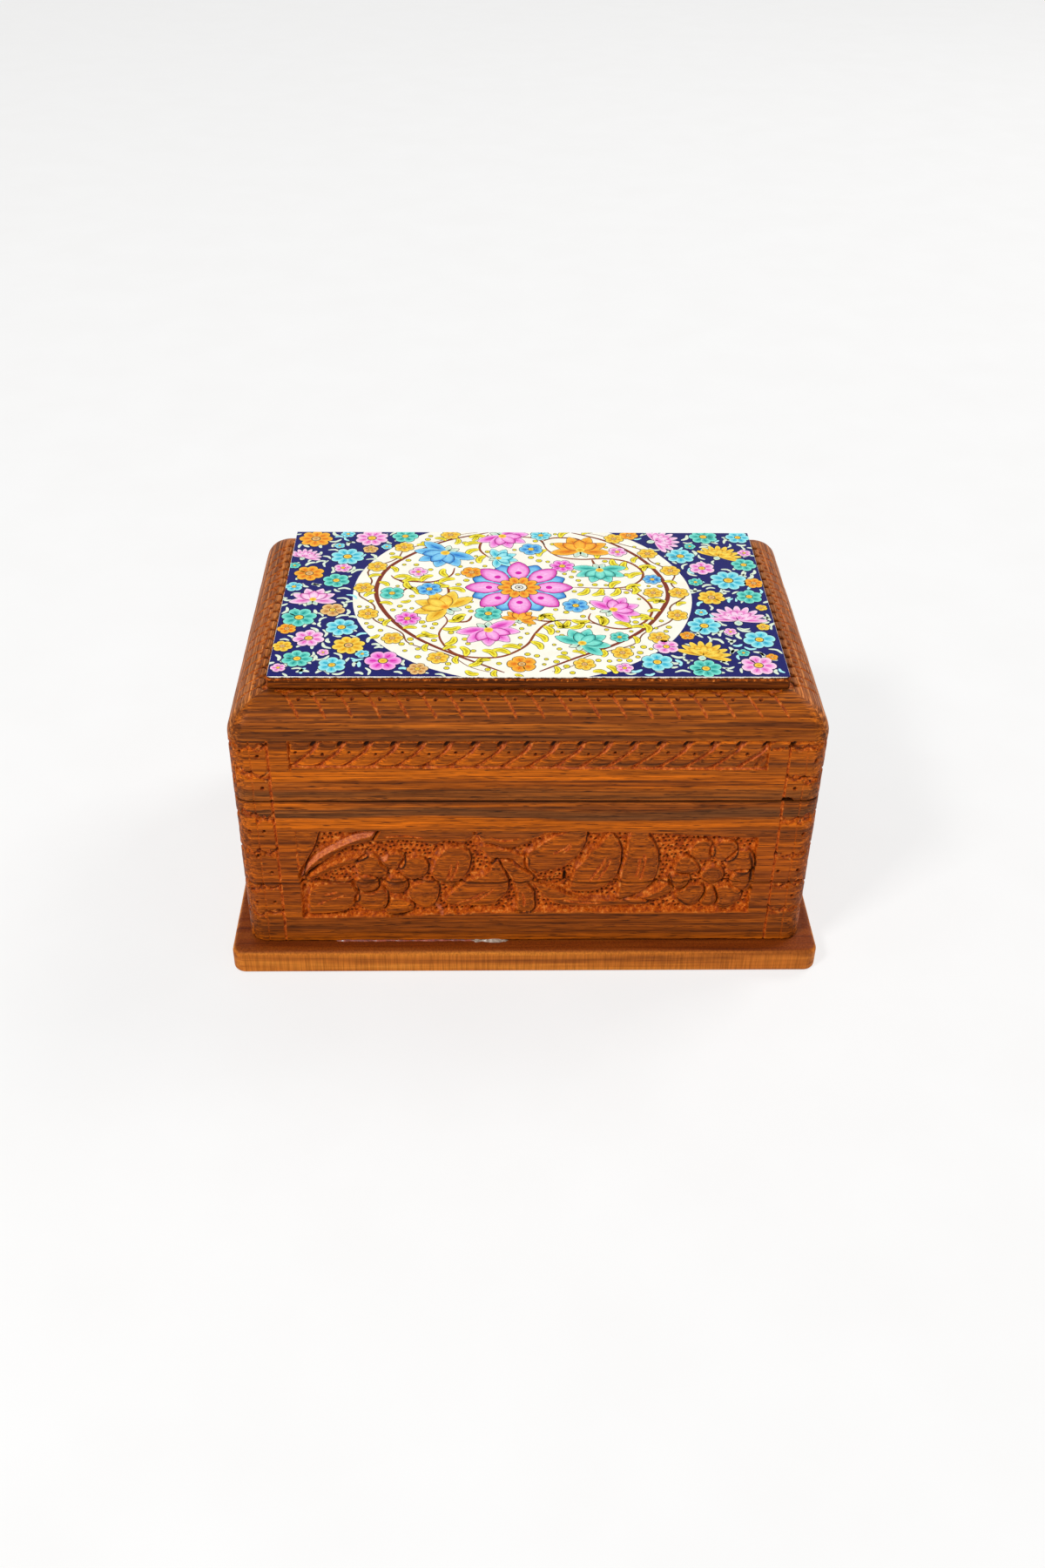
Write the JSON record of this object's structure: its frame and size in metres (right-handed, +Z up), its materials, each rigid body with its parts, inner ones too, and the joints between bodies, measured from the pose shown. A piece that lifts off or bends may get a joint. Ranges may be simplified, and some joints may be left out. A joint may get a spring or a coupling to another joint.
{
  "type": "carved wooden box",
  "caption": "Small rectangular wooden keepsake box on a plinth, with carved walls, a moulded rear-hinged lid and a painted floral plaque.",
  "frame": {"origin": "centre of the plinth's underside", "axes": "+X to the box's right seen from the front, -Y towards the viewer at the front, +Z up"},
  "size_m": [0.16, 0.1072, 0.0866],
  "materials": {
    "wall_wood": "varnished, carved, semi-gloss",
    "rail_wood": "varnished, notched moulding",
    "plinth_wood": "varnished, sawn edge",
    "board_wood": "varnished, dark",
    "plaque": "hand-painted white sheet",
    "brass": "dull, lacquered",
    "steel": "dull, slightly rusted"
  },
  "bodies": {
    "base": {"plinth_board": "plinth_wood", "base_front_wall_lower": "wall_wood", "base_front_wall_upper": "wall_wood", "base_back_wall": "wall_wood", "base_left_wall": "wall_wood", "base_right_wall": "wall_wood", "plinth_nails": "steel", "hinge_left_base_leaf": "brass", "hinge_right_base_leaf": "brass", "hinge_left_pin": "brass", "hinge_right_pin": "brass", "base_hinge_screws": "brass"},
    "lid": {"lid_front_wall": "wall_wood", "lid_back_wall": "wall_wood", "lid_left_wall": "wall_wood", "lid_right_wall": "wall_wood", "lid_rail_front": "rail_wood", "lid_rail_back": "rail_wood", "lid_rail_left": "rail_wood", "lid_rail_right": "rail_wood", "lid_centre_board": "board_wood", "painted_plaque": "plaque", "hinge_left_lid_leaf": "brass", "hinge_right_lid_leaf": "brass", "lid_hinge_screws": "brass"}
  },
  "joints": [
    {"name": "lid_hinge", "type": "hinge", "parent": "base", "child": "lid", "pos_m": [0, 0.0473, 0.05525], "axis": [-1, 0, 0], "range_deg": [0, 95]}
  ]
}
